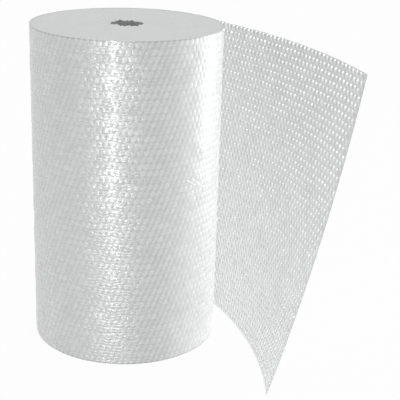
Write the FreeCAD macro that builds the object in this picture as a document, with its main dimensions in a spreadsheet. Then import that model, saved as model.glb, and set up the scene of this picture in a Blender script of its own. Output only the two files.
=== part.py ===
import FreeCAD, Part
import Sketcher
import math
import os

# Bubble wrap roll standing on its end.
# One long film is wound round an open bore, and its outer end stands free as a tail.
# Millimetres and degrees. The bore's axis is Z and the roll stands on the plane Z = 0.
# Seen from above the film winds inwards anticlockwise, so the tail leaves clockwise, towards -Y.

VECTOR = FreeCAD.Vector
NODE = "bubble_film"

# Strips across the outer side of the tail, and shares of its length at which it is measured out.
OUTER_STRIPS = 8
TAIL_STATIONS = [0.0, 0.07, 0.14, 0.21, 0.26, 0.31, 0.42, 0.54, 0.66, 0.78, 0.89, 1.0]

# What each driving dimension is, in the order of the spreadsheet's rows.
DIMENSIONS = [
    ("film_width", 750.0, "width of the film, which is the height of the standing roll"),
    ("roll_diameter", 443.0, "outside diameter over the last turn"),
    ("bore_diameter", 71.0, "open hole that a dispenser bar goes through"),
    ("film_thickness", 4.0, "film over its bubbles, which is the step at the last turn's end"),
    ("web_thickness", 1.2, "film between two ridges of bubbles"),
    ("ridge_pitch", 31.2, "from ridge to ridge across the tail, two rows of bubbles"),
    ("turn_pitch", 16.0, "from crest to crest of the turns on both ends, four turns of film"),
    ("turn_depth", 2.2, "depth of the spiral valley between those crests"),
    ("crest_drop", 0.3, "how far the crests stay below the flat rim"),
    ("outer_rim", 3.0, "flat rim round the outside of both ends"),
    ("bore_rim", 3.0, "least flat rim round the bore"),
    ("leave_angle", 71.0, "where the tail leaves the roll, from +X towards +Y"),
    ("tail_top_length", 740.0, "top edge of the tail from there to its free corner"),
    ("tail_bottom_length", 659.0, "bottom edge of the tail from there to its free corner"),
    ("curl_share", 0.21, "share of the tail's length that still curls as the roll does"),
    ("bend_share", 0.10, "share of its length in the bend after the curl"),
    ("top_curl", 40.0, "turn of the top edge over the curl"),
    ("top_bend", -7.0, "turn of the top edge over the bend, where it opens again"),
    ("top_sweep", 15.0, "turn of the top edge over the rest"),
    ("bottom_curl", 16.5, "turn of the bottom edge over the curl"),
    ("bottom_bend", 29.0, "turn of the bottom edge over the bend"),
    ("bottom_sweep", 25.5, "turn of the bottom edge over the rest"),
    ("tail_bow", 13.0, "how far the middle of the free edge bows outwards"),
    ("root_inset", 0.3, "film faces stay this far inside the step that they grow from"),
    ("root_overlap", 6.0, "how far the tail reaches back into the last turn"),
]


def make_sheet(document):
    """A spreadsheet with one named cell for each driving dimension."""
    sheet = document.addObject("Spreadsheet::Sheet", "sizes")
    for row, (alias, value, meaning) in enumerate(DIMENSIONS, start=1):
        sheet.set(f"A{row}", alias)
        sheet.set(f"B{row}", str(value))
        sheet.setAlias(f"B{row}", alias)
        sheet.set(f"C{row}", meaning)
    document.recompute()
    return sheet


def add_sketch(body, name, role):
    """A sketch on one of the body's own origin planes."""
    plane = next(item for item in body.Origin.OriginFeatures if item.Role == role)
    sketch = body.newObject("Sketcher::SketchObject", name)
    sketch.AttachmentSupport = [(plane, "")]
    sketch.MapMode = "FlatFace"
    return sketch


def bind(sketch, constraint, formula):
    """Add a dimension and tie it to the sheet."""
    index = sketch.addConstraint(constraint)
    sketch.setExpression(f"Constraints[{index}]", formula)


def bind_coordinate(sketch, kind, line, value, formula):
    """Hold a line's start at a signed distance from the sketch's origin, by its absolute size."""
    start, origin = (line, 1), (-1, 1)
    first, second = (origin, start) if value >= 0 else (start, origin)
    bind(sketch, Sketcher.Constraint(kind, *first, *second, abs(value)), formula)


def roll_outline(body, sheet):
    """Plan of the roll: two half circles whose centres lie half a film apart, so that the
    outside drops by one film thickness where the last turn ends, and the round bore."""
    radius = sheet.roll_diameter / 2
    film = sheet.film_thickness
    sketch = add_sketch(body, "roll_outline", "XY_Plane")
    outer = Part.Circle(VECTOR(0, 0, 0), VECTOR(0, 0, 1), radius)
    inner = Part.Circle(VECTOR(-film / 2, 0, 0), VECTOR(0, 0, 1), radius - film / 2)
    bore = Part.Circle(VECTOR(0, 0, 0), VECTOR(0, 0, 1), sheet.bore_diameter / 2)
    sketch.addGeometry(Part.ArcOfCircle(outer, 0, math.pi))
    sketch.addGeometry(Part.ArcOfCircle(inner, math.pi, 2 * math.pi))
    sketch.addGeometry(Part.LineSegment(VECTOR(radius - film, 0, 0), VECTOR(radius, 0, 0)))
    sketch.addGeometry(bore)
    for first, second in ((0, 1), (1, 2), (2, 0)):
        sketch.addConstraint(Sketcher.Constraint("Coincident", first, 2, second, 1))
    for circle in (0, 3):
        sketch.addConstraint(Sketcher.Constraint("Coincident", circle, 3, -1, 1))
    for curve, point in ((0, 1), (0, 2), (1, 3), (2, 1)):
        sketch.addConstraint(Sketcher.Constraint("PointOnObject", curve, point, -1))
    bind(sketch, Sketcher.Constraint("Radius", 0, radius), "sizes.roll_diameter / 2")
    bind(sketch, Sketcher.Constraint("DistanceX", 1, 3, -1, 1, film / 2), "sizes.film_thickness / 2")
    bind(sketch, Sketcher.Constraint("Diameter", 3, sheet.bore_diameter), "sizes.bore_diameter")
    return sketch


def turn_count(sheet):
    """Whole crests that fit between the outer rim and the bore's rim, less the spiral's own step."""
    outside = sheet.roll_diameter / 2 - sheet.outer_rim
    inside = sheet.bore_diameter / 2 + sheet.bore_rim
    return int((outside - inside) / sheet.turn_pitch) - 1


def turn_profile(body, sheet, name, side, top):
    """Saw-tooth between the turns on one end, for the half of the spiral on one side.

    side is 1 for the half that is swept about the roll's axis, through the far side, and -1 for
    the half that is swept about an axis half a crest away, which joins crest to next crest."""
    sketch = add_sketch(body, name, "XZ_Plane")
    outside = sheet.roll_diameter / 2 - sheet.outer_rim
    face, inward = (sheet.film_width, -1) if top else (0.0, 1)
    clear = 1.0
    points = []
    for step in range(2 * turn_count(sheet) + 1):
        depth_name = "turn_depth" if step % 2 else "crest_drop"
        depth = getattr(sheet, depth_name)
        across = f"sizes.roll_diameter / 2 - sizes.outer_rim - {step} * sizes.turn_pitch / 2"
        height = f"sizes.film_width - sizes.{depth_name}" if top else f"sizes.{depth_name}"
        points.append((outside - step * sheet.turn_pitch / 2, across, face + inward * depth, height))
    outer_across, inner_across = points[0][:2], points[-1][:2]
    beyond = face - inward * clear
    beyond_formula = f"sizes.film_width + {clear}" if top else f"{clear}"
    points.append((*inner_across, beyond, beyond_formula))
    points.append((*outer_across, beyond, beyond_formula))
    corners = [VECTOR(side * across, height, 0) for across, _, height, _ in points]
    for line, corner in enumerate(corners):
        sketch.addGeometry(Part.LineSegment(corner, corners[(line + 1) % len(corners)]))
    for line in range(len(corners)):
        sketch.addConstraint(Sketcher.Constraint("Coincident", line, 2, (line + 1) % len(corners), 1))
    for line, (across, across_formula, height, height_formula) in enumerate(points):
        bind_coordinate(sketch, "DistanceX", line, side * across, across_formula)
        bind_coordinate(sketch, "DistanceY", line, height, height_formula)
    if side < 0:
        middle = -sheet.turn_pitch / 2
        axis = sketch.addGeometry(Part.LineSegment(VECTOR(middle, 0, 0), VECTOR(middle, 10, 0)), True)
        sketch.addConstraint(Sketcher.Constraint("Vertical", axis))
        sketch.addConstraint(Sketcher.Constraint("PointOnObject", axis, 1, -1))
        bind_coordinate(sketch, "DistanceX", axis, middle, "sizes.turn_pitch / 2")
        sketch.addConstraint(Sketcher.Constraint("DistanceY", axis, 1, axis, 2, 10.0))
    return sketch


def cut_turns(body, sheet, top):
    """The spiral valley between the turns on one end, as two half-turn grooves."""
    end = "top" if top else "bottom"
    for side, half, axis in ((1, "far", "V_Axis"), (-1, "near", "Axis0")):
        profile = turn_profile(body, sheet, f"{end}_{half}_turns", side, top)
        body.Document.recompute()
        groove = body.newObject("PartDesign::Groove", f"{end}_{half}_groove")
        groove.Profile = profile
        groove.ReferenceAxis = (profile, [axis])
        groove.Angle = 180
        before = body.Shape.Volume
        body.Document.recompute()
        print(groove.Name, "cuts", round(before - body.Shape.Volume), "cubic mm")


def make_turns(document, sheet):
    """The wound turns as one body, turned so that its step lies where the tail leaves."""
    body = document.addObject("PartDesign::Body", "wound_turns")
    outline = roll_outline(body, sheet)
    pad = body.newObject("PartDesign::Pad", "roll_height")
    pad.Profile = outline
    pad.setExpression("Length", "sizes.film_width")
    document.recompute()
    for top in (True, False):
        cut_turns(body, sheet, top)
    body.Placement = FreeCAD.Placement(VECTOR(0, 0, 0), FreeCAD.Rotation(VECTOR(0, 0, 1), 1))
    body.setExpression("Placement.Rotation.Angle", "sizes.leave_angle")
    return body


def edge_point(sheet, edge, share):
    """Plan point and heading of the tail's top or bottom edge at a share of its length.

    The edge starts along the roll and runs through three arcs that join smoothly. The heading
    is measured from -Y towards +X, and each arc turns it back by its own angle."""
    length = getattr(sheet, f"tail_{edge}_length")
    turns = [math.radians(getattr(sheet, f"{edge}_{part}")) for part in ("curl", "bend", "sweep")]
    shares = [sheet.curl_share, sheet.bend_share, 1 - sheet.curl_share - sheet.bend_share]
    radius = sheet.roll_diameter / 2 - sheet.root_inset
    heading = math.radians(sheet.leave_angle)
    x, y = radius * math.cos(heading), radius * math.sin(heading)
    for turn, arc_share in zip(turns, shares):
        part = min(share, arc_share)
        run, bend = length * part, turn * part / arc_share
        chord = run if abs(bend) < 1e-9 else run * math.sin(bend / 2) / (bend / 2)
        x += chord * math.sin(heading - bend / 2)
        y -= chord * math.cos(heading - bend / 2)
        heading -= bend
        share -= part
        if share <= 0:
            break
    return VECTOR(x, y, 0), heading


def tail_section(sheet, share, back=0.0):
    """Corners of the film's cross-section at a share of the tail's length.

    Both edges keep the film's width between them, so the top edge sinks where it leans out. The
    outer side bows a little, and the side that faces the roll has a ridge for every two rows of bubbles.
    back moves the whole section back along the film."""
    bottom, bottom_heading = edge_point(sheet, "bottom", share)
    top, top_heading = edge_point(sheet, "top", share)
    width = sheet.film_width - 2 * sheet.root_inset
    lean = (top - bottom).Length
    bottom.z = sheet.root_inset
    top.z = bottom.z + math.sqrt(width ** 2 - lean ** 2)
    up = (top - bottom).normalize()
    heading = (bottom_heading + top_heading) / 2
    inward = VECTOR(-math.cos(heading), -math.sin(heading), 0)
    inward = (inward - up * inward.dot(up)).normalize()
    start = bottom - VECTOR(math.sin(heading), -math.cos(heading), 0) * back
    thickness = sheet.film_thickness - 2 * sheet.root_inset

    def place(height, depth):
        part = height / width
        bow = sheet.tail_bow * share ** 2 * 4 * part * (1 - part)
        return start + up * height + inward * (depth - bow)

    corners = [place(width * step / OUTER_STRIPS, 0) for step in range(OUTER_STRIPS + 1)]
    ridges = int(width / sheet.ridge_pitch)
    margin = (width - ridges * sheet.ridge_pitch) / 2
    corners.append(place(width, sheet.web_thickness))
    for step in range(2 * ridges - 1, 0, -1):
        depth = thickness if step % 2 else sheet.web_thickness
        corners.append(place(margin + step * sheet.ridge_pitch / 2, depth))
    corners.append(place(0, sheet.web_thickness))
    return corners


def make_tail(document, sheet):
    """The free end of the film, from inside the step to the cut edge.

    Each corner of the cross-section runs along its own smooth curve, and a ruled face joins it to
    the next one, so the rows of ridges follow the film round its curl and its lean."""
    sections = [tail_section(sheet, 0.0, sheet.root_overlap)]
    sections += [tail_section(sheet, share) for share in TAIL_STATIONS]
    places = [-sheet.root_overlap / sheet.tail_bottom_length, *TAIL_STATIONS]
    lines = []
    for track in zip(*sections):
        curve = Part.BSplineCurve()
        curve.interpolate(Points=list(track), Parameters=places)
        lines.append(curve.toShape())
    faces = [Part.makeRuledSurface(line, lines[(index + 1) % len(lines)]) for index, line in enumerate(lines)]
    for corners in (sections[0], sections[-1]):
        faces.append(Part.Face(Part.makePolygon(corners + corners[:1])))
    shell = Part.makeShell(faces)
    shell.sewShape()
    solid = Part.makeSolid(shell)
    if solid.Volume < 0:
        solid.reverse()
    tail = document.addObject("Part::Feature", "free_tail")
    tail.Shape = solid
    print("tail", round(solid.Volume / 1e6, 3), "million cubic mm")
    return tail


def check(document):
    """Stop on any object that failed or has a bad shape."""
    for item in document.Objects:
        if "Invalid" in item.State or "Error" in item.State:
            raise RuntimeError(f"{item.Name} failed: {item.State}")
    for item in document.Objects:
        if item.isDerivedFrom("Part::Feature") and not item.isDerivedFrom("Sketcher::SketchObject"):
            if item.Shape.isNull() or not item.Shape.isValid():
                raise RuntimeError(f"{item.Name} has a bad shape")


def main():
    document = FreeCAD.newDocument("bubble_wrap_roll")
    sheet = make_sheet(document)
    turns = make_turns(document, sheet)
    tail = make_tail(document, sheet)
    film = document.addObject("Part::Fuse", "film")
    film.Label = NODE
    film.Base = turns
    film.Tool = tail
    document.recompute()
    check(document)
    box = film.Shape.BoundBox
    print("solids", len(film.Shape.Solids), "faces", len(film.Shape.Faces))
    print("volume", round(film.Shape.Volume / 1e9, 5), "cubic m")
    print("box", [round(v, 2) for v in (box.XMin, box.YMin, box.ZMin, box.XMax, box.YMax, box.ZMax)])
    os.makedirs("parts", exist_ok=True)
    film.Shape.exportStep(f"parts/{film.Label}.step")


main()
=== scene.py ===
# %% [markdown]
# A roll of bubble wrap, standing on its end
#
# The real thing is one long film. Two thin sheets are sealed together with air between them, and the film
# is wound round an open hole. Its outer end hangs free as a tail that curls as the roll does.
# Everything below is worked out in metres, around the solid that carries the roll's true size.

# %% Load the frame
import math

import bpy
import numpy as np
from mathutils import Matrix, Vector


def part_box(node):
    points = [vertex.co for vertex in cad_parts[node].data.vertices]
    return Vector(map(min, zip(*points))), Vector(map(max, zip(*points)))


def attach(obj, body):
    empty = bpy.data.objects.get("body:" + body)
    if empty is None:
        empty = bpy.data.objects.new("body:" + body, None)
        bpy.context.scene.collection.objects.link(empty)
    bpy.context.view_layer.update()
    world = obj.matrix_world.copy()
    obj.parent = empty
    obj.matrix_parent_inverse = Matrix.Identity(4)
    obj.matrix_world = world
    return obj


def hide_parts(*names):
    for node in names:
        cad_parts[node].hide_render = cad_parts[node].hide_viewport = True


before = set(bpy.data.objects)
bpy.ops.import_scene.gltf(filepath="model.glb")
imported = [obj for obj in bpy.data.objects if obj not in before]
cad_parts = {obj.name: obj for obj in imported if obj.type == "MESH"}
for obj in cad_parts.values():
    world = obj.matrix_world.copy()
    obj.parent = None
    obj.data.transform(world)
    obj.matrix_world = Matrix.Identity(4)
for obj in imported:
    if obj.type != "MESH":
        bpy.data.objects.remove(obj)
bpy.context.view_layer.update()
low, high = (np.array(corner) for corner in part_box("bubble_film"))
print("solid box", low.round(3), high.round(3))

# %% [markdown]
# The driving sizes
#
# The film's width is the roll's height, and the roll's radius is how far the solid reaches to the left,
# away from the tail. Both are read from the frame. The other sizes repeat what the solid was built from,
# so that each new surface lies on it. Turns are in degrees, and a share is a part of the tail's length.

# %% Sizes of the roll, its tail and its bubbles
HEIGHT = high[2] - low[2]
RADIUS = -low[0]
BORE_RADIUS = 0.0355
FILM = 0.004
LEAVE = math.radians(71)

TAIL_LENGTHS = {"bottom": 0.659, "top": 0.740}
TAIL_TURNS = {"bottom": (16.5, 29.0, 25.5), "top": (40.0, -7.0, 15.0)}
TAIL_SHARES = (0.21, 0.10, 0.69)
TAIL_BOW = 0.013
EDGE_INSET = 0.0003
ROOT_OVERLAP = 0.006

BUBBLE_PITCH = 0.0139
ROWS = 48
ROW_PITCH = HEIGHT / ROWS
SWELL = 0.0005
BUBBLE = 0.0021
SINK = 0.0003
WEB = 0.0004
print("rows", ROWS, "row pitch", round(ROW_PITCH, 4), "radius", round(RADIUS, 4))

# %% [markdown]
# One measure for the whole film
#
# Every point of the film has three numbers: how far along the film it is, how high up its width, and how
# far it lies outside the middle of the sheet. Along is zero where the tail leaves the roll, positive on
# the tail and negative on the roll. With one function from these numbers to space, bubbles, wrinkles and
# edges are placed in the same way on the roll and on the tail, and the pattern runs on from one to the
# other as it does on the real film.

# %% Where the film runs
WAVE_COUNT = 9
WAVE_HEIGHT = 0.00009
WAVE_FADE_UP = 0.02
WAVE_FADE_ALONG = 0.05
FREE_END_LIMIT = 1.02

generator = np.random.default_rng(7)
waves = [
    (generator.uniform(0.05, 0.16), generator.uniform(0.035, 0.11), generator.uniform(0, 6.3))
    for _ in range(WAVE_COUNT)
]


def slow_waves(along, up):
    """Height of the film's slow waves, zero at the film's edges and where the tail joins on.

    It is the sum of pairs of sines that cross, sin(2 pi (along / length +- up / height) + phase)."""
    total = np.zeros(np.broadcast(along, up).shape)
    for length, height, phase in waves:
        total = total + np.sin(2 * np.pi * (along / length + up / height) + phase)
        total = total + np.sin(2 * np.pi * (along / length - up / height) + 2 * phase)
    fade_up = np.clip(np.minimum(up, HEIGHT - up) / WAVE_FADE_UP, 0, 1)
    fade_along = np.clip(-along / WAVE_FADE_ALONG, 0, 1)
    return WAVE_HEIGHT * (fade_up * fade_along) * total


def wall_plan(angle):
    """Plan point and outward direction of the roll's outside, at an angle back from the tail's root.

    The first half turn is a half circle about the axis. The second half has its centre half a film
    off the axis, so after one turn the outside lies one film further in."""
    far = angle > np.pi
    radius = np.where(far, RADIUS - FILM / 2, RADIUS)
    shift = np.where(far, -FILM / 2, 0.0)
    heading = angle + LEAVE
    out_x, out_y = np.cos(heading), np.sin(heading)
    x = radius * out_x + shift * math.cos(LEAVE)
    y = radius * out_y + shift * math.sin(LEAVE)
    return x, y, out_x, out_y


def edge_plan(edge, share):
    """Plan point and heading of the tail's top or bottom edge at a share of its length.

    The edge is three arcs that join smoothly. The chord of an arc of length a that turns by t is
    a sin(t/2) / (t/2), and it points halfway through the turn."""
    heading = np.full(np.shape(share), LEAVE)
    x = (RADIUS - EDGE_INSET) * np.cos(heading)
    y = (RADIUS - EDGE_INSET) * np.sin(heading)
    start = 0.0
    for turn, arc_share in zip(np.radians(TAIL_TURNS[edge]), TAIL_SHARES):
        part = np.clip(share - start, 0, arc_share)
        half = turn * part / arc_share / 2
        chord = TAIL_LENGTHS[edge] * part * np.sinc(half / np.pi)
        x = x + chord * np.sin(heading - half)
        y = y - chord * np.cos(heading - half)
        heading = heading - 2 * half
        start += arc_share
    return x, y, heading


def tail_length(up):
    """Length of the tail at a height: it grows evenly from the bottom edge to the top edge."""
    return TAIL_LENGTHS["bottom"] + (TAIL_LENGTHS["top"] - TAIL_LENGTHS["bottom"]) * up / HEIGHT


def tail_point(along, up, outward):
    """Point of the tail: up the straight line between its two edges, then out along its normal.

    The line keeps the film's width, so its top sinks as it leans out. It bows outwards in the middle
    by bow * share ** 2 * 4 * part * (1 - part), where part is the share of the film's width. Behind
    its root the tail runs straight on, under the last turn."""
    share = along / tail_length(up)
    inside = np.clip(share, 0, FREE_END_LIMIT)
    bottom_x, bottom_y, bottom_heading = edge_plan("bottom", inside)
    top_x, top_y, top_heading = edge_plan("top", inside)
    width = HEIGHT - 2 * EDGE_INSET
    lean_x, lean_y = top_x - bottom_x, top_y - bottom_y
    rise = np.sqrt(width ** 2 - lean_x ** 2 - lean_y ** 2)
    line = np.stack([lean_x, lean_y, rise], -1) / width
    heading = (bottom_heading + top_heading) / 2
    out = np.stack([np.cos(heading), np.sin(heading), np.zeros_like(heading)], -1)
    out = out - line * (out * line).sum(-1, keepdims=True)
    out = out / np.linalg.norm(out, axis=-1, keepdims=True)
    part = up / HEIGHT
    bow = TAIL_BOW * inside ** 2 * 4 * part * (1 - part)
    foot = np.stack([bottom_x, bottom_y, np.full_like(bottom_x, EDGE_INSET)], -1)
    back = np.minimum(along, 0)
    foot[..., 0] += back * np.sin(LEAVE)
    foot[..., 1] -= back * np.cos(LEAVE)
    lift = np.asarray(outward) + bow - SWELL
    return foot + line * (part * width)[..., None] + out * lift[..., None]


def wall_point(along, up, outward):
    """Point of the roll's outside: out from its plan by the given height and the slow waves."""
    x, y, out_x, out_y = wall_plan(-along / RADIUS)
    lift = outward - SWELL + slow_waves(along, up)
    return np.stack([x + out_x * lift, y + out_y * lift, up], -1)


def outer_point(along, up, outward):
    """Point of the film's outer side, on the roll or on the tail."""
    along, up, outward = np.broadcast_arrays(along, up, outward)
    on_roll = wall_point(np.minimum(along, 0), up, outward)
    on_tail = tail_point(np.maximum(along, 0), up, outward)
    return np.where((along < 0)[..., None], on_roll, on_tail)


def inner_point(along, up, inward):
    """Point of the tail's inner side, which faces the roll, at a height above its flat film."""
    along, up, inward = np.broadcast_arrays(along, up, inward)
    return tail_point(along, up, -WEB - inward)


# %% [markdown]
# Meshes from whole arrays
#
# A surface is a grid of points whose rows and columns follow two parameters. The helper below takes such
# points and the corners of its faces, and writes them into a mesh in one go. It stores the film's own
# coordinates on every corner as a UV map, so that a material can follow the film instead of space, and
# two numbers on every point: how far it stands on its bubble, and one number by chance for each bubble.

# %% Mesh helpers


def grid_faces(columns, rows):
    """Corners of the faces of a grid of points, counted column by column, seen from along x up."""
    column, row = np.meshgrid(np.arange(columns - 1), np.arange(rows - 1), indexing="ij")
    first = (column * rows + row).ravel()
    return np.stack([first, first + rows, first + rows + 1, first + 1], 1)


def make_piece(name, points, faces, film, swell=None, chance=None):
    """A smooth mesh object from points, a list of face arrays and each point's place on the film."""
    corners = np.concatenate([block.ravel() for block in faces])
    sizes = np.concatenate([np.full(len(block), block.shape[1]) for block in faces])
    mesh = bpy.data.meshes.new(name)
    mesh.vertices.add(len(points))
    mesh.vertices.foreach_set("co", np.ascontiguousarray(points, np.float32).ravel())
    mesh.loops.add(len(corners))
    mesh.loops.foreach_set("vertex_index", corners.astype(np.int32))
    mesh.polygons.add(len(sizes))
    mesh.polygons.foreach_set("loop_start", np.concatenate([[0], np.cumsum(sizes)[:-1]]).astype(np.int32))
    mesh.polygons.foreach_set("use_smooth", np.ones(len(sizes), bool))
    mesh.update(calc_edges=True)
    mesh.uv_layers.new(name="film").data.foreach_set("uv", film[corners].astype(np.float32).ravel())
    for title, values in (("swell", swell), ("chance", chance)):
        if values is not None:
            layer = mesh.attributes.new(title, "FLOAT", "POINT")
            layer.data.foreach_set("value", np.ascontiguousarray(values, np.float32).ravel())
    piece = bpy.data.objects.new(name, mesh)
    bpy.context.scene.collection.objects.link(piece)
    print(name, "triangles", int((sizes - 2).sum()))
    return piece


# %% [markdown]
# Bubbles
#
# The real bubbles are drawn into the film by a drum with staggered holes, so each row sits half a pitch
# beside the next. One bubble is a few rings and a top, pushed out of the film by a profile. All bubbles
# of a side are made at once: the rings of one bubble are added to every centre, and the film's own
# function carries them into place. Each bubble gets its own height, tilt and size, since air leaves
# some of them, and that is what makes a real roll glitter unevenly.

# %% Where the bubbles sit and what they look like
BUBBLE_FILL = 0.47
BUBBLE_HALF_WIDTH = BUBBLE_FILL * BUBBLE_PITCH
BUBBLE_HALF_HEIGHT = BUBBLE_FILL * ROW_PITCH
FIRST_BUBBLE = 0.25
RIM_SHARE = 0.0005
SIZE_SPREAD = 0.03
TALL_SPREAD = 0.14
TILT_SPREAD = 0.12
print("half a bubble", round(BUBBLE_HALF_WIDTH, 4), "by", round(BUBBLE_HALF_HEIGHT, 4))


def bubble_centres(start, end, length_at=None):
    """Centres of the staggered bubbles between two places along the film.

    Where the film's cut end slants, length_at gives its length at a height."""
    count = int((end - start) / BUBBLE_PITCH) + 2
    first = math.ceil(start / BUBBLE_PITCH)
    column, row = np.meshgrid(first + np.arange(count), np.arange(ROWS), indexing="ij")
    along = (column + FIRST_BUBBLE + 0.5 * (row % 2)) * BUBBLE_PITCH
    up = (row + 0.5) * ROW_PITCH
    last = end if length_at is None else length_at(up)
    keep = (along > start + BUBBLE_HALF_WIDTH) & (along < last - BUBBLE_HALF_WIDTH)
    return along[keep], up[keep]


def blow_bubbles(point, centres, height, rings, sides, power, wide=1.0):
    """Bubbles on a surface: points, faces, film places, swell and a number by chance for each.

    A ring at a share r of the bubble's size is lifted by height (1 - r ** power), and a small tilt
    lifts one side of it more than the other. The outermost ring is sunk a little into the film."""
    along, up = (values[:, None, None] for values in centres)
    count = len(centres[0])
    chance = generator.random((count, 1, 1))
    size = generator.normal(1, SIZE_SPREAD, (count, 1, 1)).clip(0.9, 1.05)
    tall = generator.normal(1, TALL_SPREAD, (count, 1, 1)).clip(0.55, 1.15)
    tilt_along, tilt_up = generator.normal(0, TILT_SPREAD, (2, count, 1, 1))
    share = np.array(rings)[None, :, None]
    turn = (np.arange(sides) * 2 * np.pi / sides)[None, None, :]
    across, rise = share * np.cos(turn), share * np.sin(turn)
    lift = height * tall * (1 - share ** power) * (1 + tilt_along * across + tilt_up * rise)
    sunk = SINK * (share >= 1)
    ring_along = along + BUBBLE_HALF_WIDTH * wide * size * across
    ring_up = up + BUBBLE_HALF_HEIGHT * size * rise
    points = point(ring_along, ring_up, lift - sunk).reshape(count, -1, 3)
    tops = point(along, up, height * tall).reshape(count, 1, 3)
    points = np.concatenate([points, tops], 1)
    places = np.stack(np.broadcast_arrays(ring_along, ring_up), -1).reshape(count, -1, 2)
    places = np.concatenate([places, np.stack([along, up], -1).reshape(count, 1, 2)], 1)
    swell = np.broadcast_to(1 - share ** power, (count, len(rings), sides)).reshape(count, -1)
    swell = np.concatenate([swell, np.ones((count, 1))], 1)
    ring, side = np.meshgrid(np.arange(len(rings) - 1), np.arange(sides), indexing="ij")
    here, beside = ring * sides + side, ring * sides + (side + 1) % sides
    bands = np.stack([here, beside, beside + sides, here + sides], -1).reshape(-1, 4)
    last = (len(rings) - 1) * sides
    side = np.arange(sides)
    caps = np.stack([last + side, last + (side + 1) % sides, np.full(sides, len(rings) * sides)], 1)
    each = len(rings) * sides + 1
    offset = np.arange(count)[:, None, None] * each
    faces = [(block[None] + offset).reshape(-1, block.shape[1]) for block in (bands, caps)]
    chances = np.broadcast_to(chance, (count, 1, each))
    return points.reshape(-1, 3), faces, places.reshape(-1, 2), swell.ravel(), chances.ravel()


def film_sheet(point, start, end, columns, rows, outward=0.0, flip=False):
    """The flat film between the bubbles, as a grid from start to end along it.

    end may be a function of the height, where the film's cut edge slants. The outermost step on each
    side is narrow, so that the smooth shading of a rim stays at the rim."""
    columns_at, rows_at = (
        np.concatenate([[0], np.linspace(RIM_SHARE, 1 - RIM_SHARE, count - 2), [1]])
        for count in (columns, rows)
    )
    share, up = np.meshgrid(columns_at, rows_at * HEIGHT, indexing="ij")
    finish = end(up) if callable(end) else end
    along = start + (finish - start) * share
    points = point(along, up, np.full_like(up, outward)).reshape(-1, 3)
    faces = grid_faces(columns, rows)
    if flip:
        faces = faces[:, ::-1]
    places = np.stack([along, up], -1).reshape(-1, 2)
    return points, [faces], places, np.zeros(up.size), np.full(up.size, 0.5)


def join(parts):
    """Several sets of points, faces and values as one, with each set's faces counted on."""
    points, faces, *values = zip(*parts)
    firsts = np.cumsum([0] + [len(block) for block in points])
    all_faces = [block + first for blocks, first in zip(faces, firsts) for block in blocks]
    return (np.concatenate(points), all_faces, *(np.concatenate(value) for value in values))


# %% [markdown]
# The outside of the roll
#
# On the real roll the bubbles face inwards, and the flat sheet outside is stretched over them, so each
# one shows as a low round swelling. The outside is one turn of film, made in four pieces so that each
# stays light: two behind, one in front and one beside the tail.

# %% Wind the outer turn
PIECE_ENDS = (0.0, 0.214, 0.428, 0.714, 1.0)
WALL_SWELL = {"height": SWELL, "rings": (1.0, 0.82, 0.55, 0.28), "sides": 10, "power": 2.2, "wide": 1.22}
WALL_COLUMNS = 80
WALL_ROWS = 145
TURN = 2 * np.pi * RADIUS

wall = []
wall_centres = np.array(bubble_centres(-TURN, 0))
piece_ends = -TURN * np.array(PIECE_ENDS)
for number, (end, start) in enumerate(zip(piece_ends[:-1], piece_ends[1:]), start=1):
    sheet = film_sheet(outer_point, start, end, WALL_COLUMNS, WALL_ROWS)
    mine = (wall_centres[0] > start) & (wall_centres[0] <= end)
    bubbles = blow_bubbles(outer_point, wall_centres[:, mine], **WALL_SWELL)
    wall.append(make_piece(f"outer_turn_{number}", *join([sheet, bubbles])))

# %% [markdown]
# The two ends
#
# From above and below, a roll shows the edges of all its turns as one fine spiral. The mesh follows that
# spiral: it steps round the roll, and the inner side of each turn is the outer side of the next. The
# edges stand a little unevenly, because no film winds perfectly level, and the innermost turns are
# ragged and out of round. At the lower end nothing reaches below the floor.

# %% Wind the spiral of film edges
SPIRAL_STEPS = 240
SPIRAL_ACROSS = 5
TURNS = int((RADIUS - BORE_RADIUS) / FILM)
EDGE_DROP = 0.0008
GAP_DEPTH = 0.0011
GAP_SHARE = 0.3
UNEVEN = 0.0003
RIM_PLACE = 0.33
LOOSE_TURNS = 5
INNER_LOOSE = 0.0016
RAGGED_TURNS = 2
INNER_STAND = 0.0009
print("turns", TURNS)


def inner_share(angle, turn, count):
    """Rises from 0 to 1 over the last count turns before the hole."""
    return np.clip((turn + angle / (2 * np.pi) - TURNS + count) / count, 0, 1)


def spiral_plan(angle, turn):
    """Plan point at an angle round the roll and a count of turns in from its outside.

    The innermost turns lean into the hole and are out of round, since nothing holds them from inside."""
    x, y, out_x, out_y = wall_plan(angle)
    loose = INNER_LOOSE * inner_share(angle, turn, LOOSE_TURNS) ** 2
    wobble = 0.8 + np.sin(2 * angle + 0.6) + 0.5 * np.sin(5 * angle) + 0.4 * np.sin(9 * angle + 2)
    inward = turn * FILM + loose * wobble
    return x - out_x * inward, y - out_y * inward


def end_depth(angle, turn):
    """Depth of the end face: a valley between turns, cut deeper where bubbles leave room.

    The valley is (1 - distance from it / its half width) ** 1.5. Near the first turn a bell curve lets
    the bubbles notch it, and the ragged innermost edges are a sum of sines round the hole."""
    across = turn % 1
    gap = np.clip(1 - np.minimum(across, 1 - across) / GAP_SHARE, 0, 1) ** 1.5
    bubble_phase = 2 * np.pi * angle * RADIUS / BUBBLE_PITCH
    notch = 1 + 1.4 * np.exp(-((turn - 1) / 0.6) ** 2) * (1 + np.cos(bubble_phase)) / 2
    level = UNEVEN * (np.sin(turn * 1.7 + 3 * angle) + np.sin(turn * 0.61 + angle))
    fade = np.clip(turn, 0, 1)
    ragged = 1 + np.sin(7 * angle + 1) + 0.8 * np.sin(16 * angle) + 0.8 * np.sin(27 * angle + 2)
    stand = INNER_STAND * inner_share(angle, turn, RAGGED_TURNS) * ragged
    return EDGE_DROP + (GAP_DEPTH * gap * notch + level) * fade - stand


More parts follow.
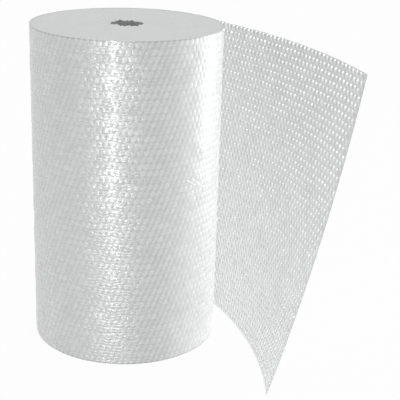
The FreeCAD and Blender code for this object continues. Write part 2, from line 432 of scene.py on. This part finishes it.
def wind_end(name, top):
    """One end of the roll as a spiral strip whose inner edge is shared with the next turn."""
    steps = np.arange(TURNS * SPIRAL_STEPS + 1)
    across = np.arange(SPIRAL_ACROSS)
    step, part = np.meshgrid(steps, across, indexing="ij")
    angle = 2 * np.pi * (step % SPIRAL_STEPS) / SPIRAL_STEPS
    turn = step // SPIRAL_STEPS + part / SPIRAL_ACROSS
    x, y = spiral_plan(angle, np.where(turn == 0, SWELL / FILM, turn))
    depth = end_depth(angle, np.where(turn == 0, RIM_PLACE, turn))
    z = HEIGHT - depth if top else np.maximum(depth, 0.0)
    points = np.stack([x, y, z], -1).reshape(-1, 3)
    column, strip = np.meshgrid(steps[:-1], across[:-1], indexing="ij")
    first = (column * SPIRAL_ACROSS + strip).ravel()
    faces = np.stack([first, first + SPIRAL_ACROSS, first + SPIRAL_ACROSS + 1, first + 1], 1)
    column = steps[:-1 - SPIRAL_STEPS]
    last = column * SPIRAL_ACROSS + SPIRAL_ACROSS - 1
    inner = (column + SPIRAL_STEPS) * SPIRAL_ACROSS
    seams = np.stack([last, last + SPIRAL_ACROSS, inner + SPIRAL_ACROSS, inner], 1)
    faces = np.concatenate([faces, seams])
    if not top:
        faces = faces[:, ::-1]
    film = np.stack([-(angle + 2 * np.pi * (step // SPIRAL_STEPS)) * RADIUS, z], -1).reshape(-1, 2)
    return make_piece(name, points, [faces], film)


end_top = wind_end("turn_edges_top", True)
end_bottom = wind_end("turn_edges_bottom", False)

# %% [markdown]
# The bore
#
# No tube shows in the hole, so its wall is the innermost turn of film. It is a grid round the hole that
# follows the same plan as the spiral's last turn.

# %% Line the bore
BORE_ROWS = 30
BORE_TURN = TURNS - 0.2
bore_angles = np.linspace(0, 2 * np.pi, SPIRAL_STEPS + 1)
bore_heights = np.linspace(EDGE_DROP, HEIGHT - EDGE_DROP, BORE_ROWS)
angle, up = np.meshgrid(bore_angles, bore_heights, indexing="ij")
bore_x, bore_y = spiral_plan(angle, BORE_TURN)
bore_points = np.stack([bore_x, bore_y, up], -1).reshape(-1, 3)
bore_film = np.stack([-angle * BORE_RADIUS, up], -1).reshape(-1, 2)
bore_faces = grid_faces(SPIRAL_STEPS + 1, BORE_ROWS)[:, ::-1]
bore = make_piece("inner_turn", bore_points, [bore_faces], bore_film)

# %% [markdown]
# The tail
#
# The tail is the same film, held by the roll at one edge and standing on the floor. It is a closed sheet
# of two thin layers, with the low swellings outside and the full bubbles on the side that faces the
# roll. A cloth simulation could hang it, but this film is stiff and stands up by itself in the curl that
# the winding left in it, so the shape is worked out from the two edges instead.

# %% Hang the tail
TAIL_COLUMNS = 130
TAIL_ROWS = 145
TAIL_BUBBLE = {"height": BUBBLE, "rings": (1.0, 0.9, 0.68, 0.36), "sides": 10, "power": 2.0}
TAIL_SWELL = {"height": SWELL, "rings": (1.0, 0.78, 0.4), "sides": 8, "power": 2.6}

tail_grid = (tail_point, -ROOT_OVERLAP, tail_length, TAIL_COLUMNS, TAIL_ROWS)
tail_parts = join([film_sheet(*tail_grid, flip=True), film_sheet(*tail_grid, outward=-WEB)])


def rim_faces(columns, rows):
    """Faces that close the two layers along all four edges of the sheet."""
    grid = np.arange(columns * rows).reshape(columns, rows)
    loop = np.concatenate([grid[:-1, 0], grid[-1, :-1], grid[:0:-1, -1], grid[0, :0:-1]])
    onward = np.roll(loop, -1)
    shift = columns * rows
    return np.stack([loop, onward, onward + shift, loop + shift], 1)


tail_parts[1].append(rim_faces(TAIL_COLUMNS, TAIL_ROWS))
tail = make_piece("tail_film", *tail_parts)

tail_centres = bubble_centres(0, TAIL_LENGTHS["top"], tail_length)
inner_bubbles = make_piece("tail_bubbles", *blow_bubbles(inner_point, tail_centres, **TAIL_BUBBLE))
# The inner side is seen from the other side of the film, so its faces are turned to look inwards.
inner_bubbles.data.flip_normals()
outer_swells = make_piece("tail_swellings", *blow_bubbles(outer_point, tail_centres, **TAIL_SWELL))

# %% [markdown]
# Shader maths as plain expressions
#
# Materials are written as sums and products. The small class below wraps a socket, and each operator on
# it adds the Math node that does it. Every other node comes from one method, and the few kinds that
# these finishes use again and again have a short function each.

# %% A socket that can be added and multiplied


class Wire:
    """A node's output that takes part in expressions."""

    def __init__(self, socket):
        self.socket = socket

    @staticmethod
    def node(tree, kind, settings=None, inputs=None, output=0):
        """Add a node, apply its settings, set or link its inputs, and give back one output."""
        node = tree.nodes.new(kind)
        for name, value in (settings or {}).items():
            setattr(node, name, value)
        for name, value in (inputs or {}).items():
            if isinstance(value, Wire):
                tree.links.new(value.socket, node.inputs[name])
            else:
                node.inputs[name].default_value = value
        return Wire(node.outputs[output])

    def maths(self, operation, *others, swap=False):
        """A Math node on this output and others, in either order."""
        values = [self, *others]
        if swap:
            values.reverse()
        inputs = dict(enumerate(values))
        return Wire.node(self.socket.id_data, "ShaderNodeMath", {"operation": operation}, inputs)

    def __add__(self, other):
        return self.maths("ADD", other)

    def __sub__(self, other):
        return self.maths("SUBTRACT", other)

    def __rsub__(self, other):
        return self.maths("SUBTRACT", other, swap=True)

    def __mul__(self, other):
        return self.maths("MULTIPLY", other)

    def __truediv__(self, other):
        return self.maths("DIVIDE", other)

    def __mod__(self, other):
        return self.maths("FLOORED_MODULO", other)

    __radd__ = __add__
    __rmul__ = __mul__


def step_between(value, start, end):
    """A soft step from 0 at start to 1 at end: 3 t ** 2 - 2 t ** 3 between them."""
    tree = value.socket.id_data
    limits = {"Value": value, "From Min": start, "From Max": end}
    return Wire.node(tree, "ShaderNodeMapRange", {"interpolation_type": "SMOOTHSTEP"}, limits)


def clouds(places, scale, detail, distortion=0.0):
    """Noise on the film's own coordinates: scale is in cells to the metre."""
    inputs = {"Vector": places, "Scale": scale, "Detail": detail, "Distortion": distortion}
    return Wire.node(places.socket.id_data, "ShaderNodeTexNoise", None, inputs)


def blend(share, under, over):
    """A colour that goes from under at 0 to over at 1."""
    inputs = {0: share, 6: under, 7: over}
    return Wire.node(share.socket.id_data, "ShaderNodeMix", {"data_type": "RGBA"}, inputs, output=2)


def relief(height, strength, distance):
    """Bump from a height whose full step is a distance in metres."""
    inputs = {"Strength": strength, "Distance": distance, "Height": height}
    return Wire.node(height.socket.id_data, "ShaderNodeBump", None, inputs)


# %% [markdown]
# Where a point lies on the film
#
# A picture of the bubbles could be printed on the film, but a formula stays sharp at any size. The
# lattice below repeats the staggered rows that the drum left, worked out from the film's own coordinates,
# and gives each point's distance from the nearest bubble. Moved by half a row, it gives the bubbles of
# the next layer.

# %% Places, lattice and lines on the film
CELL_REACH = 0.455


def new_tree(name):
    """An empty node material and its tree."""
    material = bpy.data.materials.new(name)
    material.use_nodes = True
    material.node_tree.nodes.clear()
    return material, material.node_tree


def finish_material(tree, inputs):
    """The main shader and its link to the output."""
    surface = Wire.node(tree, "ShaderNodeBsdfPrincipled", None, inputs)
    output = tree.nodes.new("ShaderNodeOutputMaterial")
    tree.links.new(surface.socket, output.inputs["Surface"])


def film_places(tree):
    """The film's own coordinates, in metres: both together, along and up."""
    places = Wire.node(tree, "ShaderNodeUVMap", {"uv_map": "film"})
    split = tree.nodes.new("ShaderNodeSeparateXYZ")
    tree.links.new(places.socket, split.inputs[0])
    return places, Wire(split.outputs["X"]), Wire(split.outputs["Y"])


def lattice(along, up, shift_up=0.0):
    """Distance from the nearest bubble's centre, 1 at its edge, of a staggered pattern.

    In cells, across and rise run from -0.5 to 0.5, and the distance is the root of their squares'
    sum. Every other row is moved by half a cell."""
    row_place = up / ROW_PITCH + shift_up
    column_place = along / BUBBLE_PITCH - (row_place.maths("FLOOR") % 2) * 0.5
    across = column_place % 1 - 0.5
    rise = row_place % 1 - 0.5
    return (across * across + rise * rise).maths("SQRT") / CELL_REACH


def segment_distance(along, up, start, end):
    """Distance from the line between two points of the film.

    The nearest point's share of the line is the dot product of both ways over the length squared."""
    (x, y), (dx, dy) = start, map(float, np.subtract(end, start))
    squared = dx ** 2 + dy ** 2
    share = (along - x) * (dx / squared) + (up - y) * (dy / squared)
    share = share.maths("MAXIMUM", 0.0).maths("MINIMUM", 1.0)
    gap_x, gap_y = along - x - share * dx, up - y - share * dy
    return (gap_x * gap_x + gap_y * gap_y).maths("SQRT")


# %% [markdown]
# The milky film
#
# Clear film looks grey and milky once many layers lie on each other, with a soft gloss from every layer.
# Its colour is a pale cool grey, lighter on the bubbles, with painted shade in the seal between them. The
# bubbles of the layer below show through, out of step with the ones on top, and the same offset pattern also
# paints shade and highlights beside each bubble. Transparent layers would show the layer below too, but
# dozens of them render slowly and full of grain, so the depth is painted as colour. Fine wrinkles run along
# the film, and bend the gloss into streaks. On the wound film the painted bubble shade is weaker on the
# left, full in front, and fades at the right, where the side light washes it out. The wound film is calm
# where it lies close on the turn below, and has two creases there.

# %% Film material
PALE = (0.76, 0.770, 0.767, 1.0)
DEEP = (0.46, 0.468, 0.466, 1.0)
CREASE_WHITE = (0.97, 0.97, 0.97, 1.0)
RIM_SHADE_GREY = (0.38, 0.39, 0.388, 1.0)

CREASES = [((-0.932, 0.434), (-0.958, 0.417)), ((-0.950, 0.433), (-0.984, 0.4085))]
CREASE_REACH = 0.0016
RIM_SHADE_REACH = (0.0042, 0.001)
FROM_ROOT = (0.0, -0.16)
SHADE_GROWS = (-0.70, -0.80)
SHADE_FADES = (-0.86, -0.95)
CALM = (-0.94, -0.82)
TAIL_MIDDLE = 0.37

TONE_SIZE = 14.0
WRINKLE_SIZE = 250.0
WRINKLE_STRETCH = (0.33, 1.0, 1.0)
FINE_SIZE = 520.0
DRIFT_SIZE = 34.0

WOUND_LOOK = {"bright": 0.62, "haze": 0.28, "wrinkling": 0.0019, "seal_shade": 0.36, "through": 0.18}
SINGLE_LOOK = {"bright": 0.68, "haze": 0.24, "wrinkling": 0.0004, "seal_shade": 0.5, "through": 0.15}


def add_creases(colour, along, up):
    """White lines where the wound film was folded."""
    crease = None
    for start, end in CREASES:
        line = step_between(segment_distance(along, up, start, end), CREASE_REACH, 0.0)
        crease = line if crease is None else crease.maths("MAXIMUM", line)
    return blend(crease, colour, CREASE_WHITE)


def paint_rim_shade(colour, along, up, tone):
    """Painted shade: a grey line along both edges of the wound film, where the top rim shades the wall and
    the floor shades its foot, broken where bubbles fill it.
    """
    from_middle = (up - HEIGHT / 2).maths("ABSOLUTE")
    inside, outside = (HEIGHT / 2 - reach for reach in RIM_SHADE_REACH)
    gaps = 0.65 + 0.35 * (along * (2 * math.pi / BUBBLE_PITCH)).maths("COSINE")
    rim = step_between(from_middle, inside, outside) * gaps * (0.4 + tone)
    return blend(rim, colour, RIM_SHADE_GREY)


def film_material(name, bright, haze, wrinkling, seal_shade, through, wound=False):
    """Bubble film: haze is its roughness, wrinkling the height of its wrinkles in metres.

    seal_shade is how much darker the flat film round the bubbles is painted, as shade in the seal, and
    through is how strongly an offset copy of the bubbles shows. That copy is the next layer seen through,
    and it also paints shade and highlights beside each bubble. Where the tail joins on, the two finishes
    meet, and the wound film is painted darker towards the root to meet the tail. The tail is one clear
    layer, with painted light and shade: its root has the roll behind it, its free end has the white room and
    its foot the white floor, so it is painted lighter along its length and downwards."""
    material, tree = new_tree(name)
    places, along, up = film_places(tree)
    swell = Wire.node(tree, "ShaderNodeAttribute", {"attribute_name": "swell"}, output="Fac")
    chance = Wire.node(tree, "ShaderNodeAttribute", {"attribute_name": "chance"}, output="Fac")
    tone = clouds(places, TONE_SIZE, 3.0)
    # Painted shade in the seal round the bubbles, and an offset copy of the bubble pattern: the layer below,
    # and painted shade and highlights beside each bubble.
    below_and_painted_light = step_between(lattice(along, up, 0.5), 1.25, 0.3)
    pattern = seal_shade * (step_between(swell, 0.0, 0.8) - 1.0) + through * (2 * below_and_painted_light - 1)
    if wound:
        # Painted darker towards the tail's root, to meet the tail's painted root shade; the wrinkles calm
        # there too.
        away_from_root = step_between(along, *FROM_ROOT)
        # The painted bubble shade is weaker on the roll's left, full in front, and fades at the right, where
        # the side light washes it out.
        clear = 0.6 + 0.4 * step_between(along, *SHADE_GROWS) - 0.5 * step_between(along, *SHADE_FADES)
        pattern = pattern * clear + 0.18 * (away_from_root - 1.0)
    else:
        # Painted light and shade on the single layer: darker at the root with the roll behind it, lighter
        # towards the free end and towards the white floor.
        pattern = pattern + 0.6 * (along - TAIL_MIDDLE) + 0.35 * (HEIGHT / 2 - up)
    light = bright + pattern + 0.18 * (chance - 0.5) + 0.2 * (tone - 0.5)
    colour = blend(light, DEEP, PALE)

    stretched = Wire.node(tree, "ShaderNodeMapping", None, {"Vector": places, "Scale": WRINKLE_STRETCH})
    wrinkle = clouds(stretched, WRINKLE_SIZE, 2.0, 1.2)
    ridge = (up * (4 * math.pi / ROW_PITCH) + 12.0 * clouds(places, DRIFT_SIZE, 1.0)).maths("COSINE")
    height = wrinkle + clouds(places, FINE_SIZE, 1.0) * 0.12 + 0.15 * ridge
    if wound:
        height = height * (0.12 + 0.88 * step_between(along, *CALM)) * (0.12 + 0.88 * away_from_root)
        # White creases, and painted shade along both rims.
        colour = paint_rim_shade(add_creases(colour, along, up), along, up, tone)
    roughness = haze + 0.12 * (wrinkle - 0.5) + 0.08 * (chance - 0.5)
    gloss = {"IOR": 1.5, "Specular IOR Level": 0.5, "Coat Weight": 0.22, "Coat Roughness": 0.12}
    bump = relief(height, 0.9, wrinkling)
    finish_material(tree, {"Base Color": colour, "Roughness": roughness, "Normal": bump, **gloss})
    print(name, "nodes", len(tree.nodes))
    return material


roll_film = film_material("bubble_film_wound", **WOUND_LOOK, wound=True)
tail_film = film_material("bubble_film_single", **SINGLE_LOOK)

# %% [markdown]
# Cut edges and the hole
#
# The ends of the roll show only the film's cut edges. They are matt and pale, with a slow change of tone
# from turn to turn and a faint beat where the bubbles were cut. The hole goes dark with depth, because
# little light comes back out of it: its bottom would be dark by itself, but it is painted so as well,
# so that it looks right under any light.

# %% Materials of the ends and the hole
EDGE_DARK = (0.58, 0.592, 0.588, 1.0)
EDGE_LIGHT = (0.70, 0.708, 0.705, 1.0)
BORE_DARK = (0.14, 0.145, 0.145, 1.0)
BORE_LIGHT = (0.50, 0.512, 0.51, 1.0)
BORE_LIT_DEPTH = 0.12


def edge_material():
    """The cut edges of the turns: matt, pale, with a slow change of tone from turn to turn."""
    material, tree = new_tree("film_edges")
    places, along, up = film_places(tree)
    cells = step_between(lattice(along, 0 * up + ROW_PITCH / 2), 1.1, 0.6)
    light = 0.45 + 0.2 * cells + 0.6 * (clouds(places, 9.0, 4.0) - 0.5)
    colour = blend(light, EDGE_DARK, EDGE_LIGHT)
    grain = clouds(places, 300.0, 2.0)
    bump = relief(grain, 0.25, 0.0008)
    roughness = 0.5 + 0.2 * grain
    finish_material(tree, {"Base Color": colour, "Roughness": roughness, "Normal": bump, "IOR": 1.5})
    return material


def bore_material():
    """The innermost turn: it goes dark with depth, because little light comes back out of the hole."""
    material, tree = new_tree("film_in_bore")
    places, _, up = film_places(tree)
    tone = clouds(places, 120.0, 3.0)
    lit = step_between(up, HEIGHT - BORE_LIT_DEPTH, HEIGHT)
    colour = blend(lit * (0.7 + 0.6 * (tone - 0.5)), BORE_DARK, BORE_LIGHT)
    bump = relief(tone, 0.5, 0.002)
    roughness = 0.35 + 0.2 * tone
    finish_material(tree, {"Base Color": colour, "Roughness": roughness, "Normal": bump, "IOR": 1.5})
    return material


film_edges = edge_material()
bore_film_dark = bore_material()
print("finishes", film_edges.name, bore_film_dark.name)

# %% [markdown]
# Dress the solid
#
# Each new piece takes the place of the plain solid, rides on the roll's only body and takes its finish from
# the one slot.

# %% Give each piece its finish and its body
finishes = {piece: roll_film for piece in wall}
finishes |= {end_top: film_edges, end_bottom: film_edges, bore: bore_film_dark}
finishes |= {tail: tail_film, inner_bubbles: tail_film, outer_swells: tail_film}
for piece, material in finishes.items():
    piece.data.materials.append(material)
    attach(piece, "root")
    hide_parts("bubble_film")

# %% [markdown]
# The studio
#
# The photograph is a cut-out on pure white. More light would give a white floor, but it would burn out
# the film as well. Instead the floor has a glow of its own, just for the rays that look at it, straight
# or by way of a gloss. For all other light it is matt white, so it lights the roll from below as a white
# table does, and keeps a soft shadow.

# %% Floor
FLOOR_REACH = 14.0
FLOOR_WHITE = 0.86
FLOOR_GLOW = 0.93
floor_corners = [(x * FLOOR_REACH, y * FLOOR_REACH, 0.0) for x, y in ((-1, -1), (1, -1), (1, 1), (-1, 1))]
floor_mesh = bpy.data.meshes.new("floor")
floor_mesh.from_pydata(floor_corners, [], [(0, 1, 2, 3)])
floor = bpy.data.objects.new("floor", floor_mesh)
bpy.context.scene.collection.objects.link(floor)


def seen_rays(tree):
    """1 on rays from the camera, from gloss and through clear matter, and 0 on all others."""
    path = tree.nodes.new("ShaderNodeLightPath")
    seen = Wire(path.outputs["Is Camera Ray"])
    for name in ("Is Glossy Ray", "Is Transmission Ray"):
        seen = seen.maths("MAXIMUM", Wire(path.outputs[name]))
    return seen


def floor_material():
    """Matt white, mixed with a white of its own for the rays that see it."""
    material, tree = new_tree("white_floor")
    matt = Wire.node(tree, "ShaderNodeBsdfDiffuse", None, {"Color": (*[FLOOR_WHITE] * 3, 1)})
    glow = Wire.node(tree, "ShaderNodeEmission", None, {"Strength": 1.0})
    mixed = Wire.node(tree, "ShaderNodeMixShader", None, {0: seen_rays(tree) * FLOOR_GLOW, 1: matt, 2: glow})
    output = tree.nodes.new("ShaderNodeOutputMaterial")
    tree.links.new(mixed.socket, output.inputs["Surface"])
    return material


floor_mesh.materials.append(floor_material())
print("floor", 2 * FLOOR_REACH, "m wide")

# %% [markdown]
# The room
#
# An even pale room lights the film from all sides and gives it its plain level. It is a little darker
# than white, so that no pale surface clips.

# %% World
SKY = 0.92
world = bpy.data.worlds.new("studio")
bpy.context.scene.world = world
world.use_nodes = True
world.node_tree.nodes["Background"].inputs["Color"].default_value = (SKY, SKY, SKY, 1)
print("room", SKY)

# %% [markdown]
# Soft boxes
#
# The boxes stand where the film's highlights say that they stood. A tall one at the front left makes the
# glittering band, one at the right and behind makes the right side glow, and one high on the left puts a
# point of light on every bubble of the tail. One behind gives the back a band of its own, and a large one
# overhead lights the top. Two lie under the floor and stand for the light that a white table throws up.
# A studio keeps a box off a part with screens. Here each box but the one overhead names the pieces that
# it lights, and nothing shadows it.

# %% Lamps
MIDDLE = np.array([0.0, 0.0, HEIGHT / 2])


def lit_group(name, pieces):
    """A collection of the pieces that a lamp lights, where it doesn't light all."""
    group = bpy.data.collections.new(name)
    for piece in pieces:
        group.objects.link(piece)
    return group


def softbox(name, place, size, radiance, diffuse=True, glossy=True, only=None):
    """A rectangular lamp that looks at the roll's middle.

    Its place is an azimuth and an elevation in degrees and a distance in metres. Azimuth is counted
    from the camera's side, positive to the right. The lamp's power is its radiance times its area
    times pi."""
    azimuth, elevation, distance = place
    width, height = size
    turn, rise = math.radians(azimuth), math.radians(elevation)
    out = np.array([math.sin(turn) * math.cos(rise), -math.cos(turn) * math.cos(rise), math.sin(rise)])
    data = bpy.data.lights.new(name, "AREA")
    data.shape = "RECTANGLE"
    data.size, data.size_y = width, height
    data.energy = radiance * width * height * math.pi
    data.use_shadow = only is None
    lamp = bpy.data.objects.new(name, data)
    turned = Matrix.Rotation(turn, 4, "Z") @ Matrix.Rotation(math.pi / 2 - rise, 4, "X")
    lamp.matrix_world = Matrix.Translation(MIDDLE + out * distance) @ turned
    lamp.visible_camera = False
    lamp.visible_diffuse = diffuse
    lamp.visible_glossy = glossy
    lamp.light_linking.receiver_collection = only
    bpy.context.scene.collection.objects.link(lamp)
    return lamp


roll_group = lit_group("roll_group", wall)
front_group = lit_group("front_group", wall[2:])
back_group = lit_group("back_group", [wall[0], tail, outer_swells])
tail_group = lit_group("tail_group", [tail, inner_bubbles, outer_swells])
softbox("tall_box", place=(-11, 5, 2.4), size=(0.32, 2.5), radiance=42.0, diffuse=False, only=front_group)
softbox("left_box", place=(-105, 32, 2.6), size=(0.8, 1.4), radiance=34.0, diffuse=False, only=tail_group)
softbox("right_box", place=(112, 4, 2.4), size=(1.0, 1.8), radiance=8.2, only=front_group)
softbox("back_box", place=(190, 18, 2.6), size=(0.6, 1.6), radiance=14.0, diffuse=False, only=back_group)
softbox("table_box", place=(45, -62, 0.9), size=(1.6, 0.9), radiance=2.3, glossy=False, only=roll_group)
softbox("tail_table", place=(-105, -38, 2.0), size=(1.2, 0.8), radiance=7.5, glossy=False, only=tail_group)
softbox("top_box", place=(0, 88, 2.6), size=(1.6, 1.6), radiance=0.38)
print("lamps", len(bpy.data.lights))

# The tail is one clear layer, so the light that falls on it from behind goes on to the roll.
for piece in (tail, inner_bubbles, outer_swells):
    piece.visible_diffuse = False
    piece.visible_shadow = False

# %% [markdown]
# The camera
#
# Its place and angles come from the photograph: the ellipses of the roll's two ends give the height, the
# distance and the slight roll of the camera.

# %% Camera
CAMERA_PLACE = (0.1766, -2.3123, 1.1456)
CAMERA_DOWN = 0.339
CAMERA_ROLL = 0.0318
LENS = 91.72
camera_data = bpy.data.cameras.new("camera")
camera_data.sensor_width = 36.0
camera_data.lens = LENS
camera = bpy.data.objects.new("camera", camera_data)
turned = Matrix.Rotation(math.pi / 2 - CAMERA_DOWN, 4, "X") @ Matrix.Rotation(CAMERA_ROLL, 4, "Z")
camera.matrix_world = Matrix.Translation(CAMERA_PLACE) @ turned
bpy.context.scene.collection.objects.link(camera)
bpy.context.scene.camera = camera
bpy.context.scene.view_settings.view_transform = "Standard"
print("camera", CAMERA_PLACE, "lens", LENS)
